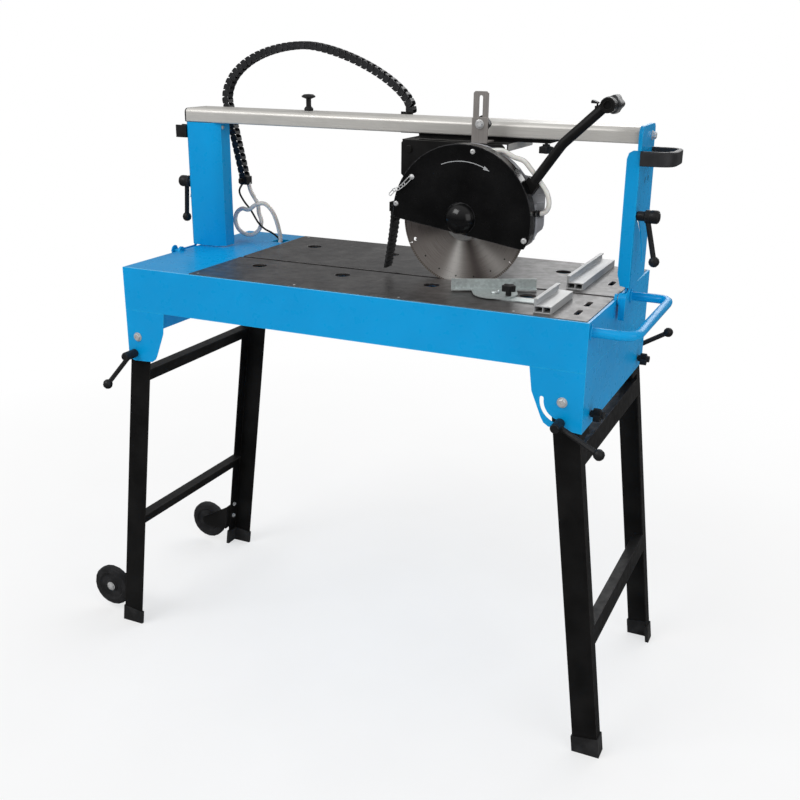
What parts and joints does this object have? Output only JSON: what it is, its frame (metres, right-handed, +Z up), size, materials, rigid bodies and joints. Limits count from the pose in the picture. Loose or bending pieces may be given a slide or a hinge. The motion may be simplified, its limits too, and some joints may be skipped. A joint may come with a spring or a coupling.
{
  "type": "wet tile saw",
  "caption": "Bridge-type wet tile saw: folding stand with wheels, water tray with table, tilting rail, sliding plunging saw head, fence and angle guide.",
  "frame": {"origin": "on the floor, under the middle of the whole saw's box", "axes": "+X along the rail towards the fence end, +Y to the back, +Z up"},
  "size_m": [1.4984, 0.695, 1.554],
  "materials": {
    "blue_paint": "glossy saturated sky blue enamel",
    "black_paint": "satin black powder coat",
    "black_plastic": "moulded black plastic, lightly textured",
    "rubber": "matt black rubber",
    "aluminium": "satin extruded aluminium",
    "cast_aluminium": "grey painted cast aluminium",
    "table_grey": "dark grey coated steel sheet",
    "steel": "ground steel",
    "zinc": "zinc plated steel",
    "hose": "off-white flexible hose"
  },
  "bodies": {
    "frame": {"water_tray": "blue_paint", "table_front": "table_grey", "table_rear": "table_grey", "water_pump": "black_plastic", "carry_handle": "blue_paint", "left_leg_bracket": "blue_paint", "right_leg_bracket": "blue_paint", "fence_front": "aluminium", "fence_rear": "aluminium", "supply_hose": "hose"},
    "left_legs": {"left_leg_frame": "black_paint", "left_front_foot": "rubber", "left_rear_foot": "rubber", "front_wheel_bracket": "black_paint", "rear_wheel_bracket": "black_paint"},
    "right_legs": {"right_leg_frame": "black_paint", "right_front_foot": "rubber", "right_rear_foot": "rubber"},
    "front_wheel_body": {"front_wheel": "rubber"},
    "rear_wheel_body": {"rear_wheel": "rubber"},
    "clamp_front_left": {"leg_clamp_front_left": "black_plastic"},
    "clamp_rear_left": {"leg_clamp_rear_left": "black_plastic"},
    "clamp_front_right": {"leg_clamp_front_right": "black_plastic"},
    "clamp_rear_right": {"leg_clamp_rear_right": "black_plastic"},
    "wing_front": {"front_wing_screw": "black_plastic"},
    "wing_rear": {"rear_wing_screw": "black_plastic"},
    "drain": {"drain_plug": "black_plastic"},
    "bridge": {"left_column": "blue_paint", "right_column": "blue_paint", "tilt_pin_left": "steel", "tilt_pin_right": "steel", "rail_beam": "aluminium", "rail_cap_left": "black_plastic", "rail_bracket_right": "blue_paint", "left_grip": "black_plastic", "right_grip": "black_plastic", "cable_chain": "black_plastic"},
    "tilt_clamp_left": {"tilt_lever_left": "black_plastic"},
    "tilt_clamp_right": {"tilt_lever_right": "black_plastic"},
    "transport_lock": {"transport_knob": "black_plastic"},
    "trolley": {"carriage": "black_paint", "depth_slot_plate": "steel"},
    "rollers_left": {"left_roller_set": "steel"},
    "rollers_right": {"right_roller_set": "steel"},
    "trolley_lock": {"carriage_lock_knob": "black_plastic"},
    "head": {"head_arm": "black_paint", "guard_cover": "black_paint", "guard_rear_shell": "cast_aluminium", "motor": "cast_aluminium", "handle_tube": "black_paint", "hand_grip": "black_plastic", "splash_flap": "rubber"},
    "depth_link_body": {"depth_link": "steel"},
    "depth_knob_body": {"depth_knob": "black_plastic"},
    "blade_body": {"blade": "steel", "arbor": "steel"},
    "switch": {"switch_lever": "black_plastic"},
    "guide_slider": {"guide_base": "zinc"},
    "guide_swing_body": {"guide_arm": "zinc"},
    "guide_clamp": {"guide_knob": "black_plastic"}
  },
  "joints": [
    {"name": "left_legs_fold", "type": "hinge", "parent": "frame", "child": "left_legs", "pos_m": [-0.49525, 0, 0.849], "axis": [0, -1, 0], "range_deg": [0, 97]},
    {"name": "right_legs_fold", "type": "hinge", "parent": "frame", "child": "right_legs", "pos_m": [0.60275, 0, 0.848], "axis": [0, 1, 0], "range_deg": [0, 90]},
    {"name": "front_wheel_spin", "type": "hinge", "parent": "left_legs", "child": "front_wheel_body", "pos_m": [-0.69025, -0.238, 0.074], "axis": [0, 1, 0], "continuous": true},
    {"name": "rear_wheel_spin", "type": "hinge", "parent": "left_legs", "child": "rear_wheel_body", "pos_m": [-0.69025, 0.238, 0.074], "axis": [0, 1, 0], "continuous": true},
    {"name": "clamp_front_left_turn", "type": "hinge", "parent": "frame", "child": "clamp_front_left", "pos_m": [-0.50625, -0.3, 0.806], "axis": [0, -1, 0], "range_deg": [0, 75]},
    {"name": "clamp_rear_left_turn", "type": "hinge", "parent": "frame", "child": "clamp_rear_left", "pos_m": [-0.50625, 0.3, 0.806], "axis": [0, -1, 0], "range_deg": [0, 75]},
    {"name": "clamp_front_right_turn", "type": "hinge", "parent": "right_legs", "child": "clamp_front_right", "pos_m": [0.60175, -0.3, 0.803], "axis": [0, -1, 0], "range_deg": [0, 75]},
    {"name": "clamp_rear_right_turn", "type": "hinge", "parent": "right_legs", "child": "clamp_rear_right", "pos_m": [0.60175, 0.3, 0.803], "axis": [0, -1, 0], "range_deg": [0, 75]},
    {"name": "wing_front_turn", "type": "hinge", "parent": "frame", "child": "wing_front", "pos_m": [0.65075, -0.225, 0.812], "axis": [1, 0, 0], "continuous": true},
    {"name": "wing_rear_turn", "type": "hinge", "parent": "frame", "child": "wing_rear", "pos_m": [0.65075, 0.225, 0.812], "axis": [1, 0, 0], "continuous": true},
    {"name": "drain_plug_turn", "type": "hinge", "parent": "frame", "child": "drain", "pos_m": [-0.23925, 0.1, 0.912], "axis": [0, 0, -1], "continuous": true},
    {"name": "bridge_tilt", "type": "hinge", "parent": "frame", "child": "bridge", "pos_m": [0.06075, -0.048, 1.0225], "axis": [1, 0, 0], "range_deg": [0, 45], "deforming": ["supply_hose", "splash_flap"]},
    {"name": "tilt_lever_left_turn", "type": "hinge", "parent": "frame", "child": "tilt_clamp_left", "pos_m": [-0.55925, 0.048, 1.193], "axis": [1, 0, 0], "range_deg": [0, 80]},
    {"name": "tilt_lever_right_turn", "type": "hinge", "parent": "frame", "child": "tilt_clamp_right", "pos_m": [0.68075, 0.048, 1.193], "axis": [1, 0, 0], "range_deg": [0, 80]},
    {"name": "transport_knob_turn", "type": "hinge", "parent": "bridge", "child": "transport_lock", "pos_m": [-0.21125, 0.1, 1.4], "axis": [0, 0, 1], "continuous": true},
    {"name": "carriage_slide", "type": "slide", "parent": "bridge", "child": "trolley", "axis": [1, 0, 0], "range_m": [-0.45, 0.145], "deforming": ["cable_chain"]},
    {"name": "rollers_left_spin", "type": "hinge", "parent": "trolley", "child": "rollers_left", "pos_m": [0.16075, 0.087, 1.3648], "axis": [0, 1, 0], "continuous": true},
    {"name": "rollers_right_spin", "type": "hinge", "parent": "trolley", "child": "rollers_right", "pos_m": [0.39075, 0.087, 1.3648], "axis": [0, 1, 0], "continuous": true},
    {"name": "carriage_lock_turn", "type": "hinge", "parent": "trolley", "child": "trolley_lock", "pos_m": [0.43575, 0.05, 1.328], "axis": [0, 0, -1], "continuous": true},
    {"name": "head_plunge", "type": "hinge", "parent": "trolley", "child": "head", "pos_m": [0.13075, 0, 1.32], "axis": [0, -1, 0], "range_deg": [0, 13]},
    {"name": "depth_link_swing", "type": "hinge", "parent": "head", "child": "depth_link_body", "pos_m": [0.30225, -0.0274, 1.303], "axis": [0, -1, 0], "range_deg": [-13, 0]},
    {"name": "depth_knob_turn", "type": "hinge", "parent": "depth_link_body", "child": "depth_knob_body", "pos_m": [0.30225, -0.02, 1.382], "axis": [0, 1, 0], "continuous": true},
    {"name": "blade_spin", "type": "hinge", "parent": "head", "child": "blade_body", "pos_m": [0.27875, -0.048, 1.164], "axis": [0, 1, 0], "continuous": true},
    {"name": "switch_press", "type": "slide", "parent": "head", "child": "switch", "axis": [0, 0, -1], "range_m": [0, 0.002]},
    {"name": "guide_slide", "type": "slide", "parent": "frame", "child": "guide_slider", "axis": [0, -1, 0], "range_m": [-0.012, 0.055]},
    {"name": "guide_swing", "type": "hinge", "parent": "guide_slider", "child": "guide_swing_body", "pos_m": [0.39775, -0.15, 1.03], "axis": [0, 0, -1], "range_deg": [-10, 45]},
    {"name": "guide_knob_turn", "type": "hinge", "parent": "guide_swing_body", "child": "guide_clamp", "pos_m": [0.43375, -0.16404, 1.045], "axis": [0, 0, 1], "continuous": true}
  ],
  "couplings": [
    {"joint": "rollers_left_spin", "follows": "carriage_slide", "rad_per_m": 86.957},
    {"joint": "rollers_right_spin", "follows": "carriage_slide", "rad_per_m": 86.957},
    {"joint": "depth_link_swing", "follows": "head_plunge", "ratio": -1}
  ]
}
